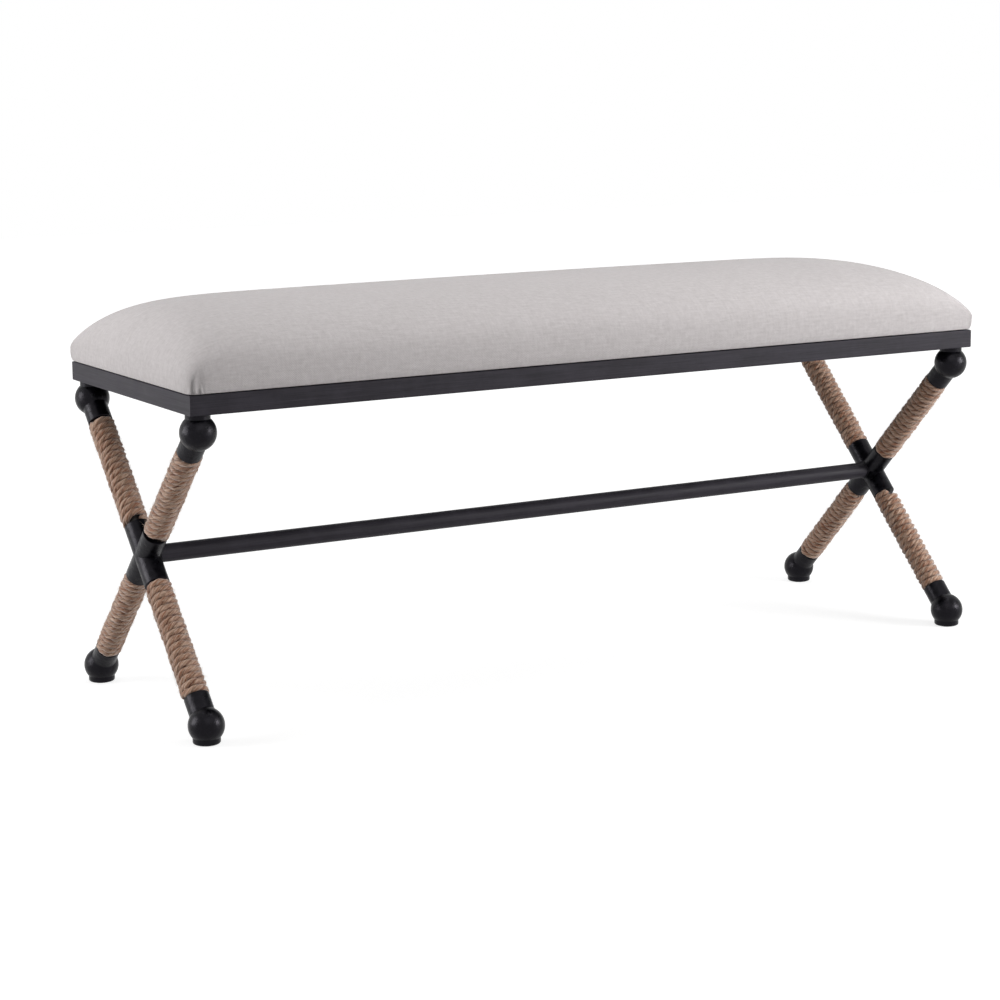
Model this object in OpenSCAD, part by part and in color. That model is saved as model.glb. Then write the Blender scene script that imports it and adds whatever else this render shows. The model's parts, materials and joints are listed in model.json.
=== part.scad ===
// Entryway bench. A padded, fabric-covered seat stands on a mitred frame of steel tube.
// Two X frames carry it: rope-wrapped tubes meet in a cast hub and end in cast balls.
// One stretcher tube ties the two hubs together.
// Units are millimetres. +X is the bench's length, -Y its front and +Z up.
// The origin lies on the floor under the middle of the bench.

/* [Seat frame] */
// Length of the steel seat frame, outside
frame_length = 1219.2; // [1000:0.1:1500]
// Depth of the steel seat frame, outside
frame_depth = 406.4; // [360:0.1:460]
// Height of the seat frame's top face above the floor
frame_top = 440; // [400:0.5:480]
// Height of the rail tube
rail_height = 25.4; // [20:0.1:36]
// Width of the rail tube, seen from above
rail_width = 38.1; // [38:0.1:50]
// Wall of the rail tube
rail_wall = 1.6; // [1.2:0.1:2.5]
// Outside corner radius of the rail tube
rail_corner = 1.5; // [0.8:0.1:2.5]
// Width of each bar across the frame
bar_width = 30; // [20:1:50]
// Thickness of each bar across the frame
bar_thickness = 4; // [3:0.5:6]
// Distance from the middle bar to each outer bar
bar_spacing = 380; // [250:5:420]

/* [X frames] */
// From the frame's end to the balls' centres
ball_inset_x = 18.8; // [17:0.1:24]
// From the frame's front or back to the balls' centres
ball_inset_y = 22.2; // [17:0.1:24]
// Radius of each cast ball
ball_radius = 23.2; // [21.5:0.1:26]
// From the rail's underside down to an upper ball's centre
top_ball_drop = 23.4; // [22:0.1:30]
// Height of a foot ball's centre above the floor
foot_ball_height = 23.6; // [22:0.1:30]
// Radius of the neck between an upper ball and the rail
neck_radius = 15.8; // [12:0.1:17]
// Radius of the round base under a foot ball
base_radius = 17.6; // [16:0.1:19]
// Rounding of the base's lower edge
base_rounding = 3; // [1:0.1:4]
// Radius of the bare iron sleeves on the hub and the balls
sleeve_radius = 16.5; // [15.5:0.1:17]
// Fillet between a ball and its sleeve
ball_fillet = 2.5; // [1:0.1:3]
// Outer radius of the leg tubes under the rope
core_radius = 8; // [7:0.1:9]
// Wall of the leg tubes
core_wall = 2; // [1.5:0.1:3]
// From a hub's centre to the floor of each tube socket
hub_socket_floor = 18; // [15:0.5:22]
// From a ball's centre to the floor of its tube socket
ball_socket_floor = 9; // [8:0.5:11]
// Radius of the stretcher tube
stretcher_radius = 12; // [9:0.1:12.5]
// Wall of the stretcher tube
stretcher_wall = 2; // [1.5:0.1:3]
// Depth of the stretcher's socket, below the hub's outermost face
stretcher_socket = 6; // [4:0.5:7]

/* [Rope wraps] */
// Thickness of the rope
rope_diameter = 9.4; // [8.5:0.05:10]
// Bare hub arm from the crossing's centre to the rope
hub_arm = 46.5; // [30:0.5:60]
// Bare iron from a ball's centre to the rope
ball_collar = 41.5; // [34:0.5:60]

/* [Seat] */
// Height of the seat's crown above the frame
seat_height = 97; // [70:0.5:120]
// Height at which the seat's side stands out furthest, before it rolls over into the crown
side_height = 17; // [16.5:0.5:30]
// How far the fabric swells past the frame's outline
side_swell = 5.5; // [2:0.1:8]
// How far the fabric's lower edge stays inside the frame's outline
side_tuck = 1.5; // [0.5:0.1:3]
// Corner radius of the seat, seen from above
seat_corner = 9; // [6:0.5:20]
// Thickness of the fabric with its lining
fabric_thickness = 1.5; // [1:0.1:3]
// Width of the fabric hem turned in under the board
hem_width = 28; // [22:1:36]
// Thickness of the plywood seat board
board_thickness = 12; // [9:0.5:14.5]
// Thickness of the dust cover under the board
dust_cover_thickness = 1.2; // [0.6:0.1:1.4]

/* [Fasteners] */
// Radius of the ball bolts' shanks
bolt_radius = 4; // [3:0.1:5]
// Length of the ball bolts under the head
bolt_length = 24; // [16:1:25]
// Radius of the seat screws' shanks
screw_radius = 2.1; // [1.5:0.1:2.5]
// Length of the seat screws under the head
screw_length = 14; // [10:0.5:14.5]
// Distance between the two screws of one bar
screw_spacing = 240; // [120:5:300]
// Radius of the glide under each foot
glide_radius = 13; // [10:0.5:14]
// Thickness of the glide
glide_thickness = 2.5; // [2:0.1:4]
// How far the glide lifts the iron base off the floor
glide_lift = 0.8; // [0.5:0.1:1.5]

/* [Hidden] */
$fn = 64;
// Free play between a round piece and the hole it sits in
fit = 0.15;
// Free play between soft pieces
soft_gap = 0.3;
// Free play round a bolt in the rail's lower wall, and round its washer in the upper wall
bolt_play = 0.3;
access_play = 0.5;
// Clearance between the dust cover and the hem round it
dust_margin = 1;
// Edge break on machined sleeve ends
edge_break = 0.6;
// How far a cutting shape runs past the face it cuts, and a joined one into its neighbour
past = 1;
// How much each turn of rope is drawn into the next
cord_overlap = 0.06;
// The hub's sleeves are turned so that no circle starts where they cross each other
sleeve_turn = 45;

IRON = [0.08, 0.08, 0.085];
STEEL = [0.24, 0.23, 0.23];
ROPE = [0.62, 0.47, 0.34];
FABRIC = [0.76, 0.74, 0.72];
FOAM = [0.93, 0.90, 0.80];
PLYWOOD = [0.78, 0.63, 0.43];
BLACK_CLOTH = [0.10, 0.10, 0.10];
ZINC = [0.70, 0.70, 0.68];
NYLON = [0.16, 0.16, 0.16];

// Sides: -1 left, 1 right. Ends: -1 front, 1 back. Halves: 1 upper, -1 lower.
SIDES = [-1, 1];
ENDS = [-1, 1];
HALVES = [1, -1];

function side_name(side) = side < 0 ? "left" : "right";
function end_name(end) = end < 0 ? "front" : "back";
function half_name(half) = half > 0 ? "upper" : "lower";
function corner_name(side, end, piece) = str(end_name(end), "_", side_name(side), "_", piece);
function leg_name(side, end, half, piece) = corner_name(side, end, str(half_name(half), "_", piece));

// ---- Derived places ----
rail_bottom = frame_top - rail_height;
ball_x = frame_length / 2 - ball_inset_x;
ball_y = frame_depth / 2 - ball_inset_y;
top_ball_z = rail_bottom - top_ball_drop;
cross_z = (top_ball_z + foot_ball_height) / 2;
half_rise = (top_ball_z - foot_ball_height) / 2;
leg_length = norm([ball_y, half_rise]);
leg_angle = atan2(ball_y, half_rise);

tube_length = leg_length - ball_socket_floor - hub_socket_floor;

rope_end = leg_length - ball_collar;
rope_span = rope_end - hub_arm;
rope_turns = round(rope_span / rope_diameter);
rope_pitch = rope_span / rope_turns;

board_bottom = frame_top + fabric_thickness;
board_top = board_bottom + board_thickness;
board_half_length = frame_length / 2 - side_tuck - fabric_thickness - soft_gap;
board_half_depth = frame_depth / 2 - side_tuck - fabric_thickness - soft_gap;
board_corner = seat_corner - fabric_thickness - soft_gap;

// Heads, washer and screw point in the usual proportions to their shank's radius
hexagon_ratio = 1.88;
head_height_ratio = 1.3;
washer_ratio = 2;
screw_head_ratio = 1.9;
screw_tip_ratio = 2;
bolt_head_radius = hexagon_ratio * bolt_radius;
bolt_head_height = head_height_ratio * bolt_radius;
washer_radius = washer_ratio * bolt_radius;
washer_thickness = 1.6;
screw_head_radius = screw_head_ratio * screw_radius;
screw_head_taper = 0.8;
screw_head_height = head_height_ratio * screw_radius;
screw_tip = screw_tip_ratio * screw_radius;
screw_tip_radius = 0.3;

// ---- Placing ----
// Puts +Z along one leg, with its zero at the crossing's centre
module on_leg(side, end, half) {
    turn = half > 0 ? leg_angle : 180 - leg_angle;
    translate([side * ball_x, 0, cross_z]) rotate([-end * turn, 0, 0]) children();
}

module at_ball(side, end, half) {
    translate([side * ball_x, end * ball_y, half > 0 ? top_ball_z : foot_ball_height]) children();
}

// ---- Shared shapes ----
module tube(radius, wall, length) {
    difference() {
        cylinder(r = radius, h = length);
        translate([0, 0, -past]) cylinder(r = radius - wall, h = length + 2 * past);
    }
}

// A round bar whose lower end has a broken edge
module sleeve(radius, length) {
    cylinder(r1 = radius - edge_break, r2 = radius, h = edge_break);
    translate([0, 0, edge_break]) cylinder(r = radius, h = length - edge_break);
}

module rounded_rectangle(width, height, radius) {
    translate([radius, 0]) square([width - 2 * radius, height]);
    translate([0, radius]) square([width, height - 2 * radius]);
    for (x = [radius, width - radius], y = [radius, height - radius])
        translate([x, y]) circle(radius);
}

// ---- Seat frame ----
module rail_section() {
    difference() {
        rounded_rectangle(rail_width, rail_height, rail_corner);
        translate([rail_wall, rail_wall])
            square([rail_width - 2 * rail_wall, rail_height - 2 * rail_wall]);
    }
}

// A tube along X with its outer face at Y = 0, mitred at 45 degrees at both ends
module mitred_rail(length) {
    translate([0, 0, rail_bottom]) difference() {
        translate([-length / 2, 0, 0]) rotate([90, 0, 90]) linear_extrude(length) rail_section();
        for (end = [0, 1]) mirror([end, 0, 0]) translate([length / 2, 0, -past])
            rotate([0, 0, 45]) translate([0, -rail_width, 0])
                cube([2 * rail_width, 4 * rail_width, rail_height + 2 * past]);
    }
}

// Holes for the ball bolts: the shank through the lower wall, the head through the upper
module ball_bolt_holes() {
    for (side = SIDES, end = ENDS) translate([side * ball_x, end * ball_y, 0]) {
        translate([0, 0, rail_bottom - past]) cylinder(r = bolt_radius + bolt_play, h = rail_height / 2);
        translate([0, 0, frame_top - rail_height / 2])
            cylinder(r = washer_radius + access_play, h = rail_height);
    }
}

module long_rail(end) {
    color(STEEL) difference() {
        rotate([0, 0, end > 0 ? 180 : 0]) translate([0, -frame_depth / 2, 0]) mitred_rail(frame_length);
        ball_bolt_holes();
    }
}

module end_rail(side) {
    color(STEEL) difference() {
        rotate([0, 0, 90 * side]) translate([0, -frame_length / 2, 0]) mitred_rail(frame_depth);
        ball_bolt_holes();
    }
}

module cross_bar(x) {
    length = frame_depth - 2 * rail_width;
    color(STEEL) difference() {
        translate([x - bar_width / 2, -length / 2, frame_top - bar_thickness])
            cube([bar_width, length, bar_thickness]);
        for (end = ENDS) translate([x, end * screw_spacing / 2, frame_top - bar_thickness - past])
            cylinder(r = screw_radius + fit, h = bar_thickness + 2 * past);
    }
}

// ---- X frames ----
module cross_hub(side) {
    color(IRON) difference() {
        for (end = ENDS) on_leg(side, end, 1) hub_arms();
        for (end = ENDS, half = HALVES) on_leg(side, end, half)
            translate([0, 0, hub_socket_floor])
                cylinder(r = core_radius + fit, h = hub_arm);
        translate([side * (ball_x - sleeve_radius + stretcher_socket), 0, cross_z])
            rotate([0, -side * 90, 0]) cylinder(r = stretcher_radius + fit, h = 2 * sleeve_radius);
    }
}

// The two bare arms on one leg's axis, with their outer edges broken
module hub_arms() {
    rotate([0, 0, sleeve_turn]) for (way = [0, 1]) mirror([0, 0, way])
        translate([0, 0, -hub_arm]) sleeve(sleeve_radius, hub_arm);
}

module stretcher_tube() {
    half = ball_x - sleeve_radius + stretcher_socket;
    color(IRON) translate([-half, 0, cross_z]) rotate([0, 90, 0])
        tube(stretcher_radius, stretcher_wall, 2 * half);
}

module leg_tube(side, end, half) {
    color(IRON) on_leg(side, end, half) translate([0, 0, hub_socket_floor])
        tube(core_radius, core_wall, tube_length);
}

// Close turns of rope: one round of cord beside the next, cut flat at both ends
module rope_wrap(side, end, half) {
    inner = core_radius + fit;
    cord = rope_diameter / 2;
    color(ROPE) on_leg(side, end, half) translate([0, 0, hub_arm]) rotate_extrude() intersection() {
        translate([inner, 0]) square([rope_diameter + past, rope_span]);
        union() {
            translate([inner, 0]) square([cord, rope_span]);
            for (turn = [0.5 : rope_turns]) translate([inner + cord, turn * rope_pitch])
                circle(cord + cord_overlap);
        }
    }
}

// Fillet ring where a ball runs into its sleeve, on the leg's axis, ball centre at zero
module ball_sleeve_fillet() {
    reach = ball_radius + ball_fillet;
    out = sleeve_radius + ball_fillet;
    back = sqrt(reach * reach - out * out);
    rotate_extrude() difference() {
        polygon([
            [sleeve_radius - past, -back],
            [out, -back],
            [out * ball_radius / reach, -back * ball_radius / reach],
            [sleeve_radius - past, -back + ball_fillet]
        ]);
        translate([out, -back]) circle(ball_fillet);
    }
}

// The ball with its sleeve, as they sit on the leg
module ball_on_leg(side, end, half) {
    on_leg(side, end, half) {
        translate([0, 0, rope_end]) sleeve(sleeve_radius, ball_collar);
        translate([0, 0, leg_length]) ball_sleeve_fillet();
        translate([0, 0, leg_length]) sphere(ball_radius);
    }
}

module leg_socket(side, end, half) {
    on_leg(side, end, half) translate([0, 0, hub_socket_floor])
        cylinder(r = core_radius + fit, h = tube_length);
}

module top_ball(side, end) {
    color(IRON) difference() {
        union() {
            ball_on_leg(side, end, 1);
            at_ball(side, end, 1) cylinder(r = neck_radius, h = top_ball_drop);
        }
        leg_socket(side, end, 1);
        at_ball(side, end, 1) translate([0, 0, top_ball_drop + rail_wall + washer_thickness - bolt_length])
            cylinder(r = bolt_radius + fit, h = bolt_length);
    }
}

module foot_ball(side, end) {
    color(IRON) difference() {
        union() {
            ball_on_leg(side, end, -1);
            translate([side * ball_x, end * ball_y, glide_lift]) foot_base();
        }
        leg_socket(side, end, -1);
        translate([side * ball_x, end * ball_y, -past])
            cylinder(r = glide_radius + fit, h = glide_thickness + past);
    }
}

// Round base with a rounded lower edge, buried in the ball above it
module foot_base() {
    height = foot_ball_height / 2;
    rotate_extrude() {
        square([base_radius - base_rounding, height]);
        translate([0, base_rounding]) square([base_radius, height - base_rounding]);
        translate([base_radius - base_rounding, base_rounding]) circle(base_rounding);
    }
}

module glide(side, end) {
    color(NYLON) translate([side * ball_x, end * ball_y, 0])
        sleeve(glide_radius, glide_thickness);
}

// ---- Fasteners ----
module ball_bolts() {
    color(ZINC) for (side = SIDES, end = ENDS)
        translate([side * ball_x, end * ball_y, rail_bottom + rail_wall]) {
            tube(washer_radius, washer_radius - bolt_radius - fit, washer_thickness);
            translate([0, 0, washer_thickness]) {
                cylinder(r = bolt_head_radius, h = bolt_head_height, $fn = 6);
                translate([0, 0, -bolt_length]) cylinder(r = bolt_radius, h = bolt_length);
            }
        }
}

module seat_screws() {
    color(ZINC) for (x = [-1, 0, 1], end = ENDS)
        translate([x * bar_spacing, end * screw_spacing / 2, frame_top - bar_thickness]) {
            translate([0, 0, -screw_head_height]) cylinder(
                r1 = screw_head_taper * screw_head_radius, r2 = screw_head_radius, h = screw_head_height);
            cylinder(r = screw_radius, h = screw_length - screw_tip);
            translate([0, 0, screw_length - screw_tip])
                cylinder(r1 = screw_radius, r2 = screw_tip_radius, h = screw_tip);
        }
}

// ---- Seat ----
module screw_holes(low, height) {
    for (x = [-1, 0, 1], end = ENDS) translate([x * bar_spacing, end * screw_spacing / 2, low])
        cylinder(r = screw_radius + fit, h = height);
}

module seat_board() {
    color(PLYWOOD) difference() {
        translate([-board_half_length, -board_half_depth, board_bottom]) linear_extrude(board_thickness)
            rounded_rectangle(2 * board_half_length, 2 * board_half_depth, board_corner);
        screw_holes(board_bottom - past, screw_length - bar_thickness - fabric_thickness + past + fit);
    }
}

module dust_cover() {
    half_length = board_half_length - hem_width - dust_margin;
    half_depth = board_half_depth - hem_width - dust_margin;
    color(BLACK_CLOTH) difference() {
        translate([-half_length, -half_depth, board_bottom - dust_cover_thickness])
            cube([2 * half_length, 2 * half_depth, dust_cover_thickness]);
        screw_holes(board_bottom - dust_cover_thickness - past, dust_cover_thickness + 2 * past);
    }
}

// The soft seat is a grid of points over the board, dense towards its edges, that stands
// on rings of points round its upright side.
grid_x = 32;
grid_y = 18;
rim = 2 * (grid_x + grid_y);
// How sharply the crown falls away at the ends, and at the front and back
end_power = 13.6;
end_root = 1.79;
front_power = 2.23;
front_root = 3.23;

function spread(index, count) =
    let (t = 2 * index / count - 1) sign(t) * (1 - pow(1 - abs(t), 2));

function crown(u, v) = pow(max(0, 1 - pow(abs(u), end_power)), 1 / end_root)
    * pow(max(0, 1 - pow(abs(v), front_power)), 1 / front_root);

// A point of the unit square laid on a rectangle with round corners
function plan(u, v, half_length, half_depth, radius) = let (
    x = abs(u) * half_length,
    y = abs(v) * half_depth,
    p = max(0, (x - half_length + radius) / radius),
    q = max(0, (y - half_depth + radius) / radius)
) [
    sign(u) * (p > 0 && q > 0 ? half_length - radius + radius * p * sqrt(1 - q * q / 2) : x),
    sign(v) * (p > 0 && q > 0 ? half_depth - radius + radius * q * sqrt(1 - p * p / 2) : y)
];

// The grid's outline as [column, row] pairs, anticlockwise from the front left corner
outline = concat(
    [for (i = [0 : grid_x - 1]) [i, 0]],
    [for (j = [0 : grid_y - 1]) [grid_x, j]],
    [for (i = [grid_x : -1 : 1]) [i, grid_y]],
    [for (j = [grid_y : -1 : 1]) [0, j]]
);

// How far the side stands outside the frame's outline at a height above the frame: it rolls
// out from its tucked lower edge in a quarter of an ellipse
function side_offset(height) =
    side_swell - (side_swell + side_tuck) * (1 - sqrt(1 - pow(1 - height / side_height, 2)));

function ring(inset, height) = let (
    grow = side_offset(height) - inset,
    half_length = frame_length / 2 + grow,
    half_depth = frame_depth / 2 + grow
) [for (c = outline) let (p = plan(spread(c[0], grid_x), spread(c[1], grid_y), half_length, half_depth,
    seat_corner - inset)) [p[0], p[1], frame_top + height]];

function crown_grid(inset) = let (
    half_length = frame_length / 2 + side_swell - inset,
    half_depth = frame_depth / 2 + side_swell - inset,
    rise = seat_height - side_height - inset
) [for (i = [0 : grid_x], j = [0 : grid_y]) let (
    u = spread(i, grid_x),
    v = spread(j, grid_y),
    p = plan(u, v, half_length, half_depth, seat_corner - inset)
) [p[0], p[1], frame_top + side_height + rise * crown(u, v)]];

function grid_point(base, i, j) = base + i * (grid_y + 1) + j;
function rim_point(base, k) = grid_point(base, outline[k % rim][0], outline[k % rim][1]);

function grid_faces(base) = [for (i = [0 : grid_x - 1], j = [0 : grid_y - 1], half = [0, 1])
    half == 0
    ? [grid_point(base, i, j), grid_point(base, i, j + 1), grid_point(base, i + 1, j + 1)]
    : [grid_point(base, i, j), grid_point(base, i + 1, j + 1), grid_point(base, i + 1, j)]];

// Faces between two closed loops of points, given as lists of point numbers
function band(low, high) = [for (k = [0 : rim - 1], half = [0, 1]) let (n = (k + 1) % rim)
    half == 0 ? [low[k], high[k], high[n]] : [low[k], high[n], low[n]]];

function ring_loop(base, number) = [for (k = [0 : rim - 1]) base + number * rim + k];
function rim_loop(base) = [for (k = [0 : rim - 1]) rim_point(base, k)];
function stack_faces(base, rings) = concat(
    [for (n = [0 : 1 : rings - 2]) each band(ring_loop(base, n), ring_loop(base, n + 1))],
    band(ring_loop(base, rings - 1), rim_loop(base + rings * rim)),
    grid_faces(base + rings * rim)
);
function flipped(faces) = [for (f = faces) [f[2], f[1], f[0]]];

// Heights of the rings above the frame, round the board and from its top up
lower_rings = [for (part = [0.25, 0.5, 0.75]) part * board_thickness];
upper_rings = [board_top - frame_top, (board_top - frame_top + side_height) / 2];

module foam_pad() {
    inset = fabric_thickness + soft_gap;
    points = concat([for (h = upper_rings) each ring(inset, h)], crown_grid(inset));
    faces = concat([ring_loop(0, 0)], stack_faces(0, len(upper_rings)));
    color(FOAM) polyhedron(points, faces);
}

// Outer skin, inner skin and the hem's edge, as one closed surface
module seat_cover() {
    outer_heights = concat([0, fabric_thickness / 2, fabric_thickness], lower_rings, upper_rings);
    inner_heights = concat([fabric_thickness], lower_rings, upper_rings);
    hem = side_tuck + hem_width;
    outer = concat(
        hem_ring(hem, 0), [for (h = outer_heights) each ring(0, h)], crown_grid(0));
    inner = concat(
        hem_ring(hem, fabric_thickness),
        [for (h = inner_heights) each ring(fabric_thickness, h)],
        crown_grid(fabric_thickness));
    base = len(outer);
    color(FABRIC) polyhedron(concat(outer, inner), concat(
        stack_faces(0, 1 + len(outer_heights)),
        flipped(stack_faces(base, 1 + len(inner_heights))),
        band(ring_loop(base, 0), ring_loop(0, 0))));
}

function hem_ring(inset, height) = [for (c = outline) [
    spread(c[0], grid_x) * (frame_length / 2 - inset),
    spread(c[1], grid_y) * (frame_depth / 2 - inset),
    frame_top + height]];

// ---- Assembly ----
long_rail(-1);  // front_rail
long_rail(1);  // back_rail
end_rail(-1);  // left_rail
end_rail(1);  // right_rail
cross_bar(-bar_spacing);  // left_cross_bar
cross_bar(0);  // middle_cross_bar
cross_bar(bar_spacing);  // right_cross_bar
seat_board();
foam_pad();
seat_cover();
dust_cover();
seat_screws();
cross_hub(-1);  // left_cross_hub
cross_hub(1);  // right_cross_hub
stretcher_tube();
ball_bolts();
for (side = SIDES, end = ENDS) {
    top_ball(side, end);
    foot_ball(side, end);
    glide(side, end);
    for (half = HALVES) {
        leg_tube(side, end, half);
        rope_wrap(side, end, half);
    }
}
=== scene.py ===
"""An entryway bench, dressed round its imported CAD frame.

The camera comes first, then the finishes, the seat, the rope wraps, the small fittings, the
floor and the light. Lengths are metres, in the frame's own axes.
"""
import json
import math

import bpy
import numpy as np
from mathutils import Matrix, Vector


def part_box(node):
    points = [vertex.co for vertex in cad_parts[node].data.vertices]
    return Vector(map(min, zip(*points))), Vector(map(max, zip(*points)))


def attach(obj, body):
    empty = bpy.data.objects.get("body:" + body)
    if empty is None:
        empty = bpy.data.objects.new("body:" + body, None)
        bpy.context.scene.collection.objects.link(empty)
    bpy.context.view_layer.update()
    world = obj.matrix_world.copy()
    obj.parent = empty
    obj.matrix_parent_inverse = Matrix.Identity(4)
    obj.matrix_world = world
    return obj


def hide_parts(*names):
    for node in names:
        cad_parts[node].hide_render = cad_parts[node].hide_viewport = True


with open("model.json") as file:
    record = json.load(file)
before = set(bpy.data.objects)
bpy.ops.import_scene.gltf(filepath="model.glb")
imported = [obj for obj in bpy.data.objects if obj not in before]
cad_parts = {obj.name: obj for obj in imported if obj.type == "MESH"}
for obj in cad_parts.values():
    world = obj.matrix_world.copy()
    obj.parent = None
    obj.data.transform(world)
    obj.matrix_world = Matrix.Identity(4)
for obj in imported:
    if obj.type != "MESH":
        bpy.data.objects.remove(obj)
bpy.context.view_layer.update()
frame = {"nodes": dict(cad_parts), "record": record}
NODES = frame["nodes"]
SLOT_OF = {part["node"]: part["material_slot"] for part in frame["record"]["subparts"]}
SIDES = ("left", "right")
ENDS = ("front", "back")
HALVES = ("upper", "lower")

# ---- Camera: it is turned from +Y towards +X, and looks down ----
CAMERA_PLACE = Vector((-1.7436, -2.9327, 0.8529))
CAMERA_TURN = math.radians(29.828)
CAMERA_DROP = math.radians(8.179)
CAMERA_ROLL = math.radians(-0.613)
LENS = 88.45
SHIFT = -0.1


def make_camera():
    data = bpy.data.cameras.new("camera")
    data.lens = LENS
    data.shift_y = SHIFT
    camera = bpy.data.objects.new("camera", data)
    bpy.context.scene.collection.objects.link(camera)
    look_down = Matrix.Rotation(math.pi / 2 - CAMERA_DROP, 4, "X")
    turn = Matrix.Rotation(-CAMERA_TURN, 4, "Z") @ look_down
    roll = Matrix.Rotation(CAMERA_ROLL, 4, "Z")
    camera.matrix_world = Matrix.Translation(CAMERA_PLACE) @ turn @ roll
    bpy.context.scene.camera = camera


# ---- Materials: short calls for the nodes that the finishes share ----
def tint(red, green, blue):
    """A colour written as a screen shows it, from 0 to 255, as linear values"""
    def linear(c):
        c /= 255
        return c / 12.92 if c <= 0.04045 else ((c + 0.055) / 1.055) ** 2.4
    return (linear(red), linear(green), linear(blue), 1.0)


class Nodes:
    """Short calls that build a node tree"""

    def __init__(self, tree):
        self.tree = tree

    def add(self, kind, inputs=(), **settings):
        node = self.tree.nodes.new("ShaderNode" + kind)
        for name, value in settings.items():
            setattr(node, name, value)
        for key, value in dict(inputs).items():
            self.feed(node.inputs[key], value)
        return node

    def feed(self, socket, value):
        if isinstance(value, bpy.types.NodeSocket):
            self.tree.links.new(value, socket)
        else:
            socket.default_value = value

    def maths(self, operation, *values):
        return self.add("Math", dict(enumerate(values)), operation=operation).outputs[0]

    def between(self, value, low, high, new_low=0.0, new_high=1.0):
        """A value taken from one range to another, and kept inside the new one"""
        return self.add("MapRange", {"Value": value, "From Min": low, "From Max": high,
                                     "To Min": new_low, "To Max": new_high}).outputs[0]


class Finish(Nodes):
    """A material whose colour, roughness and bump come from nodes. Its constant values are
    given by the shader's own names."""

    def __init__(self, name, **sockets):
        self.material = bpy.data.materials.new(name)
        self.material.use_nodes = True
        super().__init__(self.material.node_tree)
        self.shader = self.tree.nodes["Principled BSDF"]
        for socket, value in sockets.items():
            label = socket.replace("_", " ").title().replace("Ior", "IOR")
            self.shader.inputs[label].default_value = value

    def put(self, socket, value):
        self.feed(self.shader.inputs[socket], value)

    def place(self, scale=(1, 1, 1), uv=None):
        """Coordinates in metres, from the object or from a UV map, times a scale"""
        if uv:
            source = self.add("UVMap", uv_map=uv).outputs[0]
        else:
            source = self.add("TexCoord").outputs["Object"]
        return self.add("Mapping", {"Vector": source, "Scale": scale}).outputs[0]

    def noise(self, place, scale=1.0, detail=2.0, roughness=0.5, distortion=0.0):
        return self.add("TexNoise", {"Vector": place, "Scale": scale, "Detail": detail,
                                     "Roughness": roughness, "Distortion": distortion}).outputs[0]

    def blend(self, share, low, high):
        """A colour between two. The mix node keeps its colours in sockets 6, 7 and 2."""
        node = self.add("Mix", data_type="RGBA")
        for index, value in ((0, share), (6, low), (7, high)):
            self.feed(node.inputs[index], value)
        return node.outputs[2]

    def bump(self, height, depth, below=None):
        """Relief of the given depth in metres, laid over an earlier relief"""
        inputs = {"Height": height, "Distance": depth, "Strength": 1.0}
        if below is not None:
            inputs["Normal"] = below
        return self.add("Bump", inputs).outputs[0]


# ---- Finishes: the scales of noise are in cells to a metre ----
# The range that most values of a noise lie in
NOISE_RANGE = (0.3, 0.7)

LINEN_DARK, LINEN_LIGHT = tint(184, 178, 178), tint(213, 208, 208)
THREAD, THREAD_DEPTH = 0.0011, 0.00014
THREAD_WANDER, WANDER_SCALE = 0.7 * THREAD, 90.0
SLUB_LENGTH, SLUB_WIDTH, SLUB_DEPTH = 0.021, 0.0032, 0.00022
MOTTLE_SCALE, LINEN_CLOUD_SCALE = 150.0, 9.0
# The range of the slubs and of the mottle, and the shade that each gives at either end of it
SLUB_SHADES, MOTTLE_SHADES = (0.6, 1.0, 0.06, 0.42), (0.34, 0.66, 0.03, 0.30)
LINEN_CLOUD_SHARE, WEAVE_SHARE = 0.2, 0.06


def linen():
    """Plain weave of slubby threads along both directions of the cloth"""
    finish = Finish("linen", roughness=0.92, sheen_weight=0.12, sheen_roughness=0.45)
    cloth = finish.place(uv="cloth")
    wander = finish.noise(cloth, WANDER_SCALE, 2.0)
    split = finish.add("SeparateXYZ", {0: cloth})
    along = [finish.maths("MULTIPLY_ADD", wander, THREAD_WANDER, split.outputs[k]) for k in (0, 1)]
    waves = [finish.maths("SINE", finish.maths("MULTIPLY", a, math.pi / THREAD)) for a in along]
    weave = finish.maths("MULTIPLY", *waves)
    weft_slub = finish.place((1 / SLUB_WIDTH, 1 / SLUB_LENGTH, 1), uv="cloth")
    warp_slub = finish.place((1 / SLUB_LENGTH, 1 / SLUB_WIDTH, 1), uv="cloth")
    slubs = [finish.noise(place, 1.0, 3.0, 0.6) for place in (weft_slub, warp_slub)]
    slub = finish.maths("MULTIPLY_ADD", slubs[0], 0.6, slubs[1])
    mottle = finish.noise(cloth, MOTTLE_SCALE, 4.0, 0.6, 0.4)
    cloud = finish.noise(cloth, LINEN_CLOUD_SCALE, 3.0)
    shade = finish.between(slub, *SLUB_SHADES)
    shade = finish.maths("MULTIPLY_ADD", cloud, LINEN_CLOUD_SHARE, shade)
    shade = finish.maths("ADD", shade, finish.between(mottle, *MOTTLE_SHADES))
    shade = finish.maths("MULTIPLY_ADD", weave, WEAVE_SHARE, shade)
    finish.put("Base Color", finish.blend(shade, LINEN_DARK, LINEN_LIGHT))
    relief = finish.bump(weave, THREAD_DEPTH)
    finish.put("Normal", finish.bump(slub, SLUB_DEPTH, relief))
    return finish.material


IRON_DARK, IRON_LIGHT = tint(3, 3, 5), tint(21, 20, 25)
IRON_GLEAM, IRON_GLOSS, IRON_ROUGHNESS = (0.93, 0.88, 1.0, 1.0), 0.14, (0.25, 0.41)
GRAIN_SCALE, GRAIN_DEPTH = 420.0, 0.0001
PATCH_SCALE, PATCH_DEPTH, PATCH_SHADES = 150.0, 0.0006, (0.35, 0.7, 0.0, 0.5)
SPECK_SCALE, SPECK_RANGE, SPECK_SHARE = 260.0, (0.60, 0.72), 0.6


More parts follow.
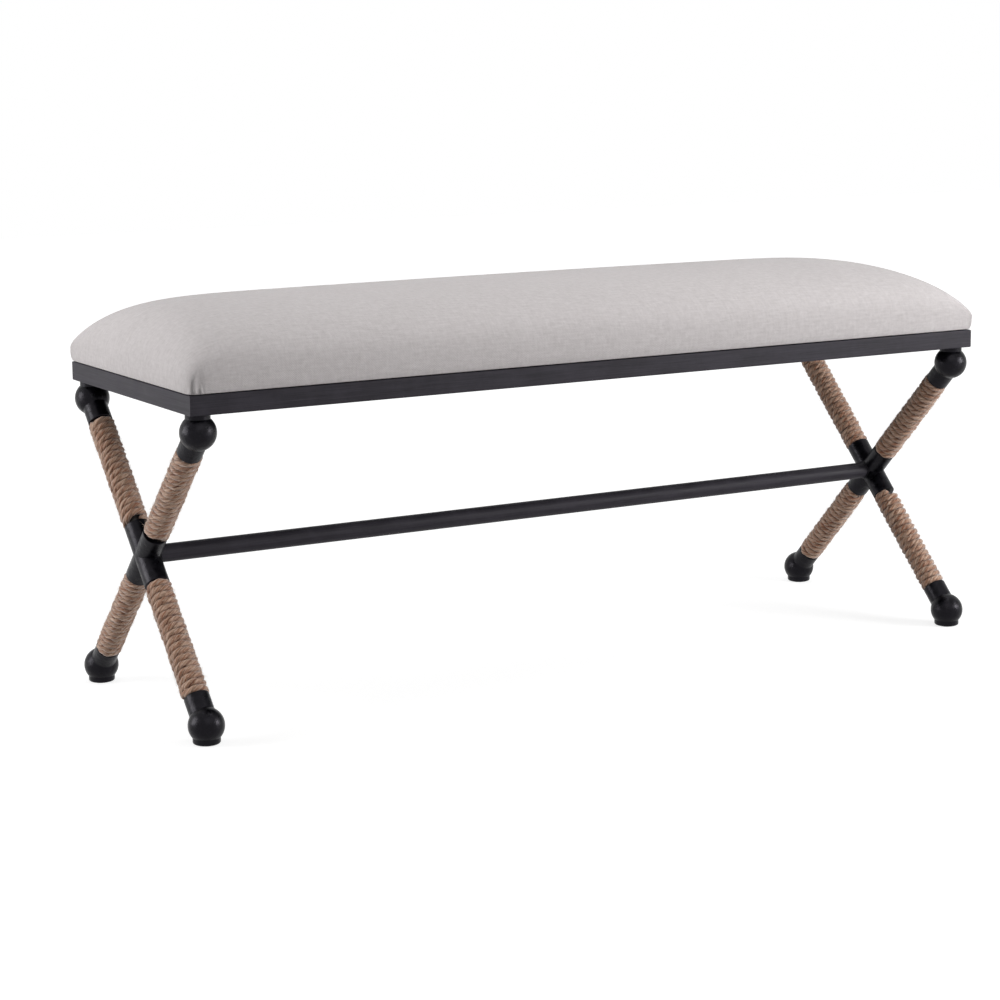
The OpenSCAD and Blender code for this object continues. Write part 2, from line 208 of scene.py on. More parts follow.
def black_iron():
    """Satin black over the fine pits of a casting, thinner and greyer in spots"""
    finish = Finish("black_iron", specular_ior_level=IRON_GLOSS, specular_tint=IRON_GLEAM)
    place = finish.place()
    grain = finish.noise(place, GRAIN_SCALE, 5.0, 0.6)
    patches = finish.noise(place, PATCH_SCALE, 3.0)
    specks = finish.between(finish.noise(place, SPECK_SCALE, 2.0), *SPECK_RANGE)
    shade = finish.between(patches, *PATCH_SHADES)
    shade = finish.maths("MULTIPLY_ADD", specks, SPECK_SHARE, shade)
    finish.put("Base Color", finish.blend(shade, IRON_DARK, IRON_LIGHT))
    finish.put("Roughness", finish.between(patches, *NOISE_RANGE, *IRON_ROUGHNESS))
    coarse = finish.bump(patches, PATCH_DEPTH)
    finish.put("Normal", finish.bump(grain, GRAIN_DEPTH, coarse))
    return finish.material


CHARCOAL_DARK, CHARCOAL_LIGHT = tint(29, 27, 31), tint(63, 60, 67)
RAIL_GLOSS, STRETCHER_GLOSS, RAIL_ROUGHNESS = 0.11, 0.10, (0.42, 0.58)
# Scales of the streaks and the bands across the rail and along it, and of the scuffs
STREAK_SCALES, BAND_SCALES, SCUFF_SCALE = (900.0, 14.0), (120.0, 9.0), 26.0
STREAK_DEPTH = 0.00005


def rail_paint(name, along, gloss=RAIL_GLOSS):
    """Charcoal paint rubbed along the rail's axis, which is given by its number: long faint
    streaks and a few lighter scuffs"""
    finish = Finish(name, specular_ior_level=gloss)

    def rubbed(across_scale, along_scale):
        scale = [across_scale] * 3
        scale[along] = along_scale
        return finish.place(scale)

    streaks = finish.noise(rubbed(*STREAK_SCALES), 1.0, 3.0, 0.6)
    bands = finish.noise(rubbed(*BAND_SCALES), 1.0, 3.0)
    cloud = finish.noise(finish.place(), SCUFF_SCALE, 4.0, 0.6)
    shade = finish.between(streaks, 0.3, 0.75, 0.0, 0.45)
    shade = finish.maths("MULTIPLY_ADD", bands, 0.5, shade)
    shade = finish.maths("MULTIPLY_ADD", finish.between(cloud, 0.4, 0.7), 0.3, shade)
    finish.put("Base Color", finish.blend(shade, CHARCOAL_DARK, CHARCOAL_LIGHT))
    finish.put("Roughness", finish.between(cloud, *NOISE_RANGE, *RAIL_ROUGHNESS))
    finish.put("Normal", finish.bump(streaks, STREAK_DEPTH))
    return finish.material


# The darkest jute colour is painted shade, laid in the creases between the strands and in the
# hollows between the turns
JUTE_PAINTED_SHADE, JUTE_RUST = tint(84, 50, 35), tint(149, 97, 69)
JUTE_MID, JUTE_PALE = tint(171, 127, 99), tint(233, 207, 186)
STRANDS = 3
# Scales of the noise along the cord and round it
FIBRE_SCALES, YARN_SCALES, LENGTH_SCALES = (170.0, 26.0, 1), (95.0, 9.0, 1), (26.0, 4.0, 1)
YARN_BREAK, FIBRE_RELIEF, GROOVE_SHADE = 0.9, 0.0008, 0.45
# The sheen's least and greatest weight, and how far off the wrap has turned at each
SHEEN, SHEEN_TURN = (0.15, 1.0), (0.1, 0.6)


def jute():
    """Twisted fibres: streaks that follow the strands, rusty patches, and painted shade in the
    creases between the strands and between the turns"""
    finish = Finish("jute", roughness=0.95, sheen_roughness=0.5)
    fibres = finish.noise(finish.place(FIBRE_SCALES, uv="cord"), 1.0, 4.0, 0.7)
    yarns = finish.noise(finish.place(YARN_SCALES, uv="cord"), 1.0, 2.0, 0.5)
    lengths = finish.noise(finish.place(LENGTH_SCALES, uv="cord"), 1.0, 3.0, 0.6)
    around = finish.add("SeparateXYZ", {0: finish.place(uv="cord")}).outputs[1]
    outward = finish.add("SeparateXYZ", {0: finish.place(uv="wrap")}).outputs[1]
    turned = finish.maths("MULTIPLY", around, STRANDS * math.pi)
    strand = finish.maths("ABSOLUTE", finish.maths("COSINE", turned))
    strand = finish.maths("MULTIPLY_ADD", finish.maths("SUBTRACT", yarns, 0.5), YARN_BREAK, strand)
    tone = finish.blend(finish.between(fibres, 0.36, 0.62), JUTE_MID, JUTE_PALE)
    patch = finish.maths("MULTIPLY_ADD", yarns, 0.7, finish.maths("MULTIPLY", lengths, 0.5))
    tone = finish.blend(finish.between(patch, 0.46, 0.72), JUTE_RUST, tone)
    # Painted shade in the creases between the strands, broken up by the yarns
    tone = finish.blend(finish.between(strand, 0.0, 0.45, 0.4, 1.0), JUTE_PAINTED_SHADE, tone)
    # Painted shade between the turns, where the cord faces in towards the leg
    groove = finish.between(outward, 0.15, 0.85, 1 - GROOVE_SHADE, 1.0)
    finish.put("Base Color", finish.blend(groove, JUTE_PAINTED_SHADE, tone))
    finish.put("Normal", finish.bump(fibres, FIBRE_RELIEF))
    # The fuzz stands up all over, and shows palest where the wrap turns away
    outer = finish.add("Attribute", attribute_name="wrap_normal").outputs["Vector"]
    away = finish.add("LayerWeight", {"Blend": 0.5, "Normal": outer}).outputs["Facing"]
    finish.put("Sheen Weight", finish.between(away, *SHEEN_TURN, *SHEEN))
    return finish.material


ROUGHNESS_SPREAD = 0.06
# The simpler finishes: dark and light colour, roughness, grain along each axis, relief, and
# the shader's other values
PLAIN_FINISHES = {
    "leg_steel": ((30, 30, 32), (48, 47, 48), 0.5, (200, 200, 200), 0.0001, {}),
    "foam": ((225, 215, 180), (240, 232, 200), 0.9, (500, 500, 500), 0.0005, {}),
    "plywood": ((170, 135, 95), (205, 175, 132), 0.7, (9, 260, 260), 0.0002, {}),
    "dust_cloth": ((20, 20, 21), (42, 42, 43), 0.9, (900, 900, 900), 0.0002, {"sheen_weight": 0.2}),
    "zinc": ((150, 150, 146), (196, 196, 190), 0.35, (300, 300, 300), 0.00005, {"metallic": 1.0}),
    "nylon": ((28, 28, 28), (44, 44, 44), 0.6, (700, 700, 700), 0.00006, {}),
    "fibre": ((196, 162, 136), (238, 220, 200), 0.9, (260, 260, 260), 0.00002, {}),
}


def plain(name, dark, light, roughness, grain, depth, sockets):
    """A finish with one grain: fine variation of colour, roughness and relief"""
    finish = Finish(name, **sockets)
    fleck = finish.noise(finish.place(grain), 1.0, 4.0, 0.6)
    share = finish.between(fleck, *NOISE_RANGE)
    finish.put("Base Color", finish.blend(share, tint(*dark), tint(*light)))
    least, most = roughness - ROUGHNESS_SPREAD, roughness + ROUGHNESS_SPREAD
    finish.put("Roughness", finish.between(fleck, *NOISE_RANGE, least, most))
    finish.put("Normal", finish.bump(fleck, depth))
    return finish.material


def dress_nodes():
    """Gives every CAD node the finish of its slot, and returns the finishes by name"""
    finishes = {
        "rail_paint": rail_paint("rail_paint_long", 0),
        "black_iron": black_iron(),
        "jute_rope": jute(),
        "linen": linen(),
    }
    for name, values in PLAIN_FINISHES.items():
        finishes[name] = plain(name, *values)
    across = rail_paint("rail_paint_across", 1)
    tube_paint = rail_paint("stretcher_paint", 0, STRETCHER_GLOSS)
    for name, node in NODES.items():
        runs_across = name in ("left_rail", "right_rail") or name.endswith("cross_bar")
        finish = across if runs_across else finishes[SLOT_OF[name]]
        if name == "stretcher_tube":
            finish = tube_paint
        node.data.materials.clear()
        node.data.materials.append(finish)
    return finishes


# ---- Meshes ----
def smooth_mesh(name, points, faces, *finishes):
    mesh = bpy.data.meshes.new(name)
    mesh.from_pydata(points.tolist(), [], faces)
    mesh.polygons.foreach_set("use_smooth", np.ones(len(mesh.polygons), bool))
    for finish in finishes:
        mesh.materials.append(finish)
    return mesh


def make_piece(name, mesh):
    """A piece of the bench that rides on its one body"""
    piece = bpy.data.objects.new(name, mesh)
    bpy.context.scene.collection.objects.link(piece)
    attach(piece, "root")
    return piece


def points_of(mesh):
    flat = np.empty(len(mesh.vertices) * 3)
    mesh.vertices.foreach_get("co", flat)
    return flat.reshape(-1, 3)


def set_points(mesh, points):
    mesh.vertices.foreach_set("co", np.asarray(points, float).ravel())
    mesh.update()


def grid_rim(n, m):
    """The rim of a grid of n by m cells, walked all the way round as pairs of numbers"""
    return np.array([(i, 0) for i in range(n)] + [(n, j) for j in range(m)]
                    + [(i, m) for i in range(n, 0, -1)] + [(0, j) for j in range(m, 0, -1)])


def grid_quads(n, m):
    """The faces of a grid of n by m cells"""
    k = (np.arange(n)[:, None] * (m + 1) + np.arange(m)).ravel()
    return np.stack([k, k + m + 1, k + m + 2, k + 1], -1)


def tube_quads(rings, sides):
    """The faces round a tube of rings, without its ends"""
    first = np.arange(rings - 1)[:, None] * sides
    k, after = first + np.arange(sides), first + np.roll(np.arange(sides), -1)
    return np.stack([k, after, after + sides, k + sides], -1).reshape(-1, 4)


def tube_ends(first, last, sides):
    """The two faces that close a tube, from the first point's number in either end ring"""
    return [list(range(first, first + sides))[::-1], list(range(last, last + sides))]


def full_turn(count):
    """Angles evenly spread round a circle"""
    return np.arange(count) / count * 2 * math.pi


def unit(vectors):
    return vectors / np.linalg.norm(vectors, axis=1, keepdims=True)


def ease(t):
    """A smooth step from 0 to 1"""
    t = np.clip(t, 0, 1)
    return t * t * (3 - 2 * t)


# ---- Seat ----
SEAT_LOW, SEAT_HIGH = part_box("seat_cover")
BOARD_LOW, BOARD_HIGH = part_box("seat_board")
SIDE_HEIGHT = 0.017
# How far the side stands out past the frame, and how far in its foot is tucked
SWELL, TUCK = 0.0055, 0.0008
# The side rolls under just above the frame, and meets it further in, by shares of this depth
LIP_HEIGHT, LIP_DEPTH, LIP_SHARES = 0.0016, 0.010, (0.2, 0.5, 1.0)
CORNER = 0.012
# The hem's width under the board, and the gap that the form keeps round the board
HEM, CLEAR = 0.0295, 0.0004
BOARD_MARGIN = 0.01
# The crown's curves along the bench and across it: (1 - |t| ** power) ** (1 / root)
END_POWER, END_ROOT = 13.6, 1.79
FRONT_POWER, FRONT_ROOT = 2.23, 3.23
CURVE_STEPS = 4001
HALF_X = SEAT_HIGH.x - SWELL
HALF_Y = SEAT_HIGH.y - SWELL
BASE_Z = SEAT_LOW.z
CROWN_RISE = SEAT_HIGH.z - BASE_Z - SIDE_HEIGHT
# The grid's cells in the middle and at the ends, and how far in the fine ones reach
COARSE, FINE, FINE_REACH = 0.0085, 0.0028, 0.10
SIDE_STEPS = 8
# For the weave: the cloth that a metre of the side's height takes, and that each loop past
# the hem adds to the hem
SIDE_CLOTH = 1.2
CLOTH_PAST_HEM = (0.0, 0.001, 0.03, 0.04, 0.05)


def profile(t, power, root):
    return np.maximum(0, 1 - np.abs(t) ** power) ** (1 / root)


def stations(half, power, root):
    """Places from -1 to 1, evenly spread along the crown's arc and closer near its ends,
    with their distance along the arc"""
    t = np.sin(np.linspace(0, math.pi / 2, CURVE_STEPS))
    rise = CROWN_RISE * profile(t, power, root)
    arc = np.concatenate([[0], np.cumsum(np.hypot(np.diff(t) * half, np.diff(rise)))])
    spacing = FINE + (COARSE - FINE) * ease((arc[-1] - arc) / FINE_REACH)
    count = np.concatenate([[0], np.cumsum(np.diff(arc) / spacing[1:])])
    steps = int(round(count[-1]))
    wanted = np.linspace(0, count[-1], steps + 1)
    places, arcs = np.interp(wanted, count, t), np.interp(wanted, count, arc)
    return np.concatenate([-places[:0:-1], places]), np.concatenate([-arcs[:0:-1], arcs])


def plan(u, v, half_x, half_y, radius):
    """Points of the unit square laid on a rectangle with round corners"""
    x, y = np.abs(u) * half_x, np.abs(v) * half_y
    p = np.maximum(0, (x - half_x + radius) / radius)
    q = np.maximum(0, (y - half_y + radius) / radius)
    round_x = half_x - radius + radius * p * np.sqrt(1 - q * q / 2)
    round_y = half_y - radius + radius * q * np.sqrt(1 - p * p / 2)
    corner = (p > 0) & (q > 0)
    return np.sign(u) * np.where(corner, round_x, x), np.sign(v) * np.where(corner, round_y, y)


class SeatGrid:
    """Numbering of a grid over the crown and of the loops that hang from its rim"""

    def __init__(self):
        self.u, self.arc_u = stations(HALF_X + SWELL, END_POWER, END_ROOT)
        self.v, self.arc_v = stations(HALF_Y + SWELL, FRONT_POWER, FRONT_ROOT)
        n, m = len(self.u) - 1, len(self.v) - 1
        self.cells = (n, m)
        self.size = (n + 1) * (m + 1)
        self.rim = grid_rim(n, m)
        self.rim_points = self.rim @ (m + 1, 1)
        self.rim_side = np.repeat([0, 1, 2, 3], [n, m, n, m])

    def crown(self, inset=0.0):
        """The crown's points, drawn in by an inset"""
        u, v = np.meshgrid(self.u, self.v, indexing="ij")
        x, y = plan(u, v, HALF_X + SWELL - inset, HALF_Y + SWELL - inset, CORNER - inset)
        rise = (CROWN_RISE - inset) * profile(u, END_POWER, END_ROOT)
        rise = rise * profile(v, FRONT_POWER, FRONT_ROOT)
        return np.stack([x, y, BASE_Z + SIDE_HEIGHT + rise], -1).reshape(-1, 3)

    def flat(self, half_x, half_y, z):
        """A level rectangle with the crown's numbering"""
        u, v = np.meshgrid(self.u, self.v, indexing="ij")
        return np.stack([u * half_x, v * half_y, np.full(u.shape, z)], -1).reshape(-1, 3)

    def loop(self, half_x, half_y, radius, z):
        """A level loop with the rim's numbering"""
        u, v = self.u[self.rim[:, 0]], self.v[self.rim[:, 1]]
        x, y = plan(u, v, half_x, half_y, radius)
        return np.stack([x, y, np.full(x.shape, z)], -1)

    def side_loop(self, turn, inset=0.0):
        """The side at a turn of the quarter ellipse that it rolls round, from 0 where it
        stands out furthest to 1 at its tucked lower edge"""
        angle = math.pi / 2 * turn
        grow = SWELL - (SWELL + TUCK) * (1 - math.cos(angle)) - inset * (1 - turn)
        height = LIP_HEIGHT + (SIDE_HEIGHT - LIP_HEIGHT) * (1 - math.sin(angle))
        return self.loop(HALF_X + grow, HALF_Y + grow, CORNER - inset, BASE_Z + height)

    def grid_faces(self, base, up):
        """Faces of a whole grid whose points start at a number, facing up or down"""
        quads = grid_quads(*self.cells) + base
        return quads if up else quads[:, ::-1]

    def band_faces(self, upper, lower):
        """Faces between two loops, given as lists of point numbers"""
        after = np.roll(np.arange(len(self.rim)), -1)
        return np.stack([upper, lower, lower[after], upper[after]], -1)


def seat_uv(grid, down):
    """Flat cloth coordinates per face corner, in the order of the seat's faces: the crown, one
    band after another, and the form's floor. The cloth runs on over the rim, down to each
    loop's distance, with a fold in each corner."""
    top = np.stack(np.meshgrid(grid.arc_u, grid.arc_v, indexing="ij"), -1).reshape(-1, 2)
    after = np.roll(np.arange(len(grid.rim)), -1)
    outward = np.array([(0, -1), (1, 0), (0, 1), (-1, 0)])[grid.rim_side]
    here, there = top[grid.rim_points], top[grid.rim_points[after]]
    rows = [top[grid.grid_faces(0, True)]]
    for upper, lower in zip(down, down[1:]):
        rows.append(np.stack([here + outward * upper, here + outward * lower,
                              there + outward * lower, there + outward * upper], 1))
    rows.append(top[grid.grid_faces(0, False)])
    return np.concatenate(rows).reshape(-1, 2)


# The cloth's own settings: how firmly the foam holds it (its lower edge is held fully), the
# pressure and its frames, and the furthest that a point may move
FOAM_HOLD, EDGE_HOLD = 0.12, 1.0
PRESSURE, FRAMES, CAP = 4.0, 20, 0.022
TENSION, SHEAR, BENDING, QUALITY = 30, 12, 1.5, 6


def inflate(skin, held):
    """Lets the cloth swell under pressure with its lower edge held, and gives its new points"""
    scene = bpy.context.scene
    start = points_of(skin.data)
    group = skin.vertex_groups.new(name="held")
    group.add(range(len(start)), FOAM_HOLD, "REPLACE")
    group.add([int(k) for k in held], EDGE_HOLD, "REPLACE")
    cloth = skin.modifiers.new("fabric", "CLOTH")
    settings = cloth.settings
    settings.vertex_group_mass = "held"
    settings.use_pressure = True
    settings.uniform_pressure_force = PRESSURE
    settings.effector_weights.gravity = 0
    settings.quality = QUALITY
    settings.tension_stiffness = TENSION
    settings.compression_stiffness = TENSION
    settings.shear_stiffness = SHEAR
    settings.bending_stiffness = BENDING
    cloth.point_cache.frame_start = 1
    cloth.point_cache.frame_end = FRAMES
    for step in range(1, FRAMES + 1):
        scene.frame_set(step)
    settled = skin.evaluated_get(bpy.context.evaluated_depsgraph_get())
    moved = points_of(settled.data) - start
    skin.modifiers.remove(cloth)
    skin.vertex_groups.clear()
    scene.frame_set(1)
    length = np.linalg.norm(moved, axis=1, keepdims=True)
    return start + moved * np.minimum(1, CAP / np.maximum(length, 1e-9))


# The skin starts this far inside the seat's shape, and keeps this share of its slow swelling
START_INSET, LASTING_SWELL = 0.004, 0.25
SMOOTHINGS = 150
SHOULDER_REACH, SHOULDER_SMOOTHINGS = 0.010, 5


def smoothed(mesh, values, steps, share=1.0):
    """The values at a mesh's points after steps of averaging with their neighbours"""
    ends = np.empty(len(mesh.edges) * 2, int)
    mesh.edges.foreach_get("vertices", ends)
    first, second = ends[::2], ends[1::2]
    count = len(values)
    degree = np.bincount(ends, minlength=count)[:, None]
    for _ in range(steps):
        total = np.stack([np.bincount(first, values[second, k], count)
                          + np.bincount(second, values[first, k], count) for k in range(3)], -1)
        values = values + 0.5 * share * (total / degree - values)
    return values


def without_drift(mesh, wanted, settled):
    """Keeps the folds that the cloth made, and only a part of its slow swelling, so that the
    seat stays the size it was cut to"""
    moved = settled - wanted
    return wanted + moved - (1 - LASTING_SWELL) * smoothed(mesh, moved, SMOOTHINGS)


def round_shoulder(mesh, points):
    """Softens the line where the side turns over into the crown"""
    height = points[:, 2] - BASE_Z - SIDE_HEIGHT
    share = np.exp(-(height / SHOULDER_REACH) ** 2)[:, None]
    return smoothed(mesh, points, SHOULDER_SMOOTHINGS, share)


def swollen_skin(grid, turns, loops, faces, finish):
    """The points of the seat's outer skin, swollen as cloth"""
    def skin_points(inset):
        sides = [grid.side_loop(turn, inset) for turn in turns]
        return np.concatenate([grid.crown(inset)] + sides)

    wanted = skin_points(0)
    start = smooth_mesh("seat_swelling", skin_points(START_INSET), faces.tolist(), finish)
    skin = make_piece("seat_swelling", start)
    settled = without_drift(skin.data, wanted, inflate(skin, loops[-1]))
    settled = round_shoulder(skin.data, settled)
    bpy.data.objects.remove(skin)
    return settled


def under_loops(grid):
    """The loops below the skin: the side rolls under, the hem turns in under the board, and
    the form closes round the board itself"""
    under, above = BOARD_LOW.z - CLEAR, BOARD_HIGH.z + CLEAR
    edge_x, edge_y = BOARD_HIGH.x + CLEAR, BOARD_HIGH.y + CLEAR
    loops = []
    for share in LIP_SHARES:
        inset, z = TUCK + LIP_DEPTH * share, BASE_Z + LIP_HEIGHT * (1 - share) ** 2
        loops.append(grid.loop(HALF_X - inset, HALF_Y - inset, CORNER / 2, z))
    for z in (BASE_Z, under):
        loops.append(grid.loop(HALF_X - HEM, HALF_Y - HEM, CORNER / 4, z))
    for z in (under, above):
        loops.append(grid.loop(edge_x, edge_y, CLEAR, z))
    return loops, grid.flat(edge_x - BOARD_MARGIN, edge_y - BOARD_MARGIN, above)


def make_seat(finish):
    """Foam and cover as one closed form that wraps the board, swollen as cloth, then pleated"""
    grid = SeatGrid()
    turns = np.linspace(0, 1, SIDE_STEPS + 1)[1:]
    count = len(grid.rim)
    loops = [grid.rim_points]
    loops += [grid.size + k * count + np.arange(count) for k in range(SIDE_STEPS)]
    bands = [grid.band_faces(upper, lower) for upper, lower in zip(loops, loops[1:])]
    skin_faces = np.concatenate([grid.grid_faces(0, True)] + bands)
    outer = swollen_skin(grid, turns, loops, skin_faces, finish)

    folds, form_floor = under_loops(grid)
    base = len(outer)
    floor_base = base + len(folds) * count
    fold_loops = [loops[-1]] + [base + k * count + np.arange(count) for k in range(len(folds))]
    fold_loops.append(floor_base + grid.rim_points)
    fold_bands = [grid.band_faces(upper, lower) for upper, lower in zip(fold_loops, fold_loops[1:])]
    faces = np.concatenate([skin_faces] + fold_bands + [grid.grid_faces(floor_base, False)])
    points = np.concatenate([outer] + folds + [form_floor])
    mesh = smooth_mesh("seat_cushion", points, faces.tolist(), finish)
    side_cloth = SIDE_CLOTH * SIDE_HEIGHT
    folded = [share * LIP_DEPTH for share in LIP_SHARES] + [HEM + past for past in CLOTH_PAST_HEM]
    down = np.concatenate([[0], side_cloth * turns, side_cloth + np.array(folded)])
    mesh.uv_layers.new(name="cloth").data.foreach_set("uv", seat_uv(grid, down).ravel())
    seat = make_piece("seat_cushion", mesh)

    smooth = seat.modifiers.new("smooth", "SUBSURF")
    smooth.levels = smooth.render_levels = 1
    graph = bpy.context.evaluated_depsgraph_get()
    finer = bpy.data.meshes.new_from_object(seat.evaluated_get(graph))
    seat.modifiers.remove(smooth)
    seat.data = finer
    pleat_corners(seat.data)
    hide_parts("seat_cover", "foam_pad")


# Places on the corner pleats are measured round the corner, from its edge: onto the long face
# at the left, and onto the end at the right
PLEAT_HEIGHT, PLEAT_DEPTH, PLEAT_FADE = 0.050, 0.0016, 1.2
# Where the fold starts, is deepest, and has come out again, at its foot, and how much wider
# it is for each metre of height
PLEAT_EDGE, PLEAT_BED, PLEAT_OUT = -0.0040, 0.0105, 0.0210
PLEAT_SPREAD, PLEAT_REACH = 0.25, 0.05
# Small puckers at the fold's foot: how far each stands out, its place and its width
PUCKER_HEIGHT = 0.012
PUCKERS = ((0.0020, 0.0150, 0.0015), (-0.0014, 0.0178, 0.0010), (-0.0011, 0.0255, 0.0014))
# At the front left corner the end's cloth is drawn round onto the front: how far off the end
# starts to turn, how far along the front it is drawn and fades, and how fast it starts
CORNER_REACH, DRAWN_REACH, DRAWN_FADE, DRAWN_START = 0.030, 0.03, 0.02, 1.4
LOWEST_NORMAL = -0.6


def normals_of(mesh):
    flat = np.empty(len(mesh.vertices) * 3)
    mesh.vertices.foreach_get("normal", flat)
    return flat.reshape(-1, 3)


def turned_in(gap, reach):
    """How far the end's face lies in, at a gap from the front, where it turns round a quarter
    ellipse of that reach"""
    return CORNER * (1 - np.sqrt(1 - np.clip(1 - gap / reach, 0, 1) ** 2))


def pleat_corners(mesh):
    """Folds the cloth in at each corner: a broad, soft dip that starts at the edge and fades
    upwards, with small puckers at its foot"""
    points, normals = points_of(mesh), normals_of(mesh)
    outside = (normals[:, 2] > LOWEST_NORMAL) & (points[:, 2] > BASE_Z + LIP_HEIGHT / 2)
    end_gap = HALF_X + SWELL - np.abs(points[:, 0])
    side_gap = HALF_Y + SWELL - np.abs(points[:, 1])
    along = -np.sign(points[:, 0]) * (end_gap - side_gap)
    height = points[:, 2] - BASE_Z
    fade = np.clip(1 - height / PLEAT_HEIGHT, 0, 1)

    out = PLEAT_OUT + PLEAT_SPREAD * height
    dip = ease((along - PLEAT_EDGE) / (PLEAT_BED - PLEAT_EDGE))
    dip *= ease((out - along) / (out - PLEAT_BED))
    push = -PLEAT_DEPTH * fade ** PLEAT_FADE * dip
    low = np.clip(1 - height / PUCKER_HEIGHT, 0, 1)
    for stand, place, width in PUCKERS:
        push += low * stand * np.exp(-((along - place) / width) ** 2)
    push *= outside & (np.abs(along) < PLEAT_REACH) & (height < PLEAT_HEIGHT)

    side_gap = np.clip(side_gap, 0, None)
    drawn = turned_in(side_gap, CORNER_REACH) - turned_in(side_gap, CORNER)
    drawn *= ease((DRAWN_REACH - end_gap) / DRAWN_FADE)
    drawn *= outside & (points[:, 0] < 0) & (points[:, 1] < 0)
    points[:, 0] += drawn * ease(DRAWN_START * fade)
    flat = normals * (1, 1, 0)
    flat /= np.maximum(np.linalg.norm(flat, axis=1, keepdims=True), 1e-6)
    set_points(mesh, points + flat * push[:, None])


# ---- Rope wraps: they are told apart by end, side and half, and t counts a wrap's turns ----
BALL_RADIUS = 0.0232
TOP_BALL_DROP, FOOT_BALL_HEIGHT = 0.0234, 0.0236
CORD = 0.0094
# The cord is pressed flatter against its tube, and a little into the turns beside it
CORD_SQUEEZE, CORD_SPREAD = 0.97, 1.03
# The strands turn once in this length. Their creases go in to a share of the cord's radius.
LAY = 0.031
CREASE, CREASE_POWER = 0.80, 0.8
CORD_SIDES, RINGS_PER_TURN = 24, 88
# The share of a turn in which the cord steps over, and how much of a turn is left out at the end
JOG = 0.45
LAST_CUT = JOG * 0.4
# Unevenness, drawn at knots: along the leg, away from it, and in the strands' twist
KNOTS_PER_TURN = 5
SWAY, WANDER, DRIFT = 0.00030, 0.00025, 0.35
# The cord's end lies under its last turns: how far it lifts them, its length and width, and
# the length over which the lift sets in
TUCKED_LIFT, TUCKED_LENGTH, TUCKED_ANGLE, TUCKED_START = 0.0012, 0.016, 0.42, 0.006
TUCKED_OUTSIDE = ("front_left_lower_rope",)
# Either end of the cord, over this share of a turn, dips in and narrows to a share of its size
END_SHARE, END_DIP, END_SIZE = 0.06, 0.0012, 0.35
LUMP_WAVES, LUMP_LENGTH, LUMP_SHARE = 16, (0.004, 0.015), 0.055


def ball_centre(end, side, upper):
    low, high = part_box(f"{end}_{side}_{'top' if upper else 'foot'}_ball")
    x = (low.x + high.x) / 2
    y = low.y + BALL_RADIUS if end == "front" else high.y - BALL_RADIUS
    return Vector((x, y, high.z - TOP_BALL_DROP if upper else FOOT_BALL_HEIGHT))


def leg_line(end, side, half):
    """The crossing of an X frame, and the way from there along a half leg to its ball"""
    ball = ball_centre(end, side, half == "upper")
    above, below = ball_centre(end, side, True), ball_centre(end, side, False)
    cross = Vector((ball.x, 0, (above.z + below.z) / 2))
    return np.array(cross), np.array((ball - cross).normalized())


def solid_reach(name, cross, axis):
    """Where a wrap's solid starts and stops along its leg, and its outer radius"""
    solid = points_of(NODES[name].data) - cross
    along = solid @ axis
    outer = np.linalg.norm(solid - along[:, None] * axis, axis=1).max()
    return along.min(), along.max(), outer


class CordLine:
    """The line of a wrap's cord: close turns side by side, each stepping to the next in one
    short jog that faces the bench's middle"""

    def __init__(self, name, end, side, half, random):
        cross, self.axis = leg_line(end, side, half)
        start, stop, outer = solid_reach(name, cross, self.axis)
        self.inward = np.array((-math.copysign(1, cross[0]), 0, 0))
        self.turns = round((stop - start) / CORD)
        pitch = (stop - start) / self.turns
        radius = outer - CORD / 2

        t = np.arange(int((self.turns - LAST_CUT) * RINGS_PER_TURN)) / RINGS_PER_TURN
        angle = 2 * math.pi * (t - JOG / 2)
        across = np.cross(self.axis, self.inward)
        self.radial = np.cos(angle)[:, None] * self.inward + np.sin(angle)[:, None] * across
        whole = np.floor(t)
        step = whole + ease((t - whole - (1 - JOG)) / JOG)
        last = self.turns - 1
        knots = np.arange((self.turns + 1) * KNOTS_PER_TURN + 1) / KNOTS_PER_TURN

        sway = np.interp(t, knots, random.normal(0, SWAY, len(knots)))
        sway *= np.clip(np.minimum(step, last - step), 0, 1)
        place = start + pitch / 2 + pitch * np.minimum(step, last) + sway
        lift = np.interp(t, knots, random.normal(0, WANDER, len(knots)))
        lift += self.tucked_lift(name, angle, place - stop)
        self.ends = ease(np.minimum(t, t[-1] - t) / END_SHARE)
        out = radius + lift - END_DIP * (1 - self.ends)
        self.path = cross + place[:, None] * self.axis + self.radial * out[:, None]
        self.length = t * 2 * math.pi * radius
        drift = np.interp(t, knots, np.cumsum(random.normal(0, DRIFT, len(knots))))
        self.twist = 2 * math.pi * self.length / LAY + drift

    def tucked_lift(self, name, angle, past_stop):
        """How far the tucked end lifts the turns over it. It shows on the outside of some
        wraps, where it lifts them twice as far."""
        shown = name in TUCKED_OUTSIDE
        swing = (angle - math.pi * shown + math.pi) % (2 * math.pi) - math.pi
        lift = TUCKED_LIFT * (1 + shown) * np.exp(-(swing / TUCKED_ANGLE) ** 2)
        return lift * ease((past_stop + TUCKED_LENGTH) / TUCKED_START)


def cord_lumps(random, length):
    """How the strands swell and thin along a cord, as a share of its radius"""
    alpha = full_turn(CORD_SIDES)
    lumps = np.zeros((len(length), CORD_SIDES))
    for _ in range(LUMP_WAVES):
        wave = 2 * math.pi * length / random.uniform(*LUMP_LENGTH)
        round_wave = random.integers(1, 6) * alpha
        lumps += np.sin(wave[:, None] + round_wave + random.uniform(0, 2 * math.pi))
    return LUMP_SHARE * lumps / math.sqrt(LUMP_WAVES / 2)


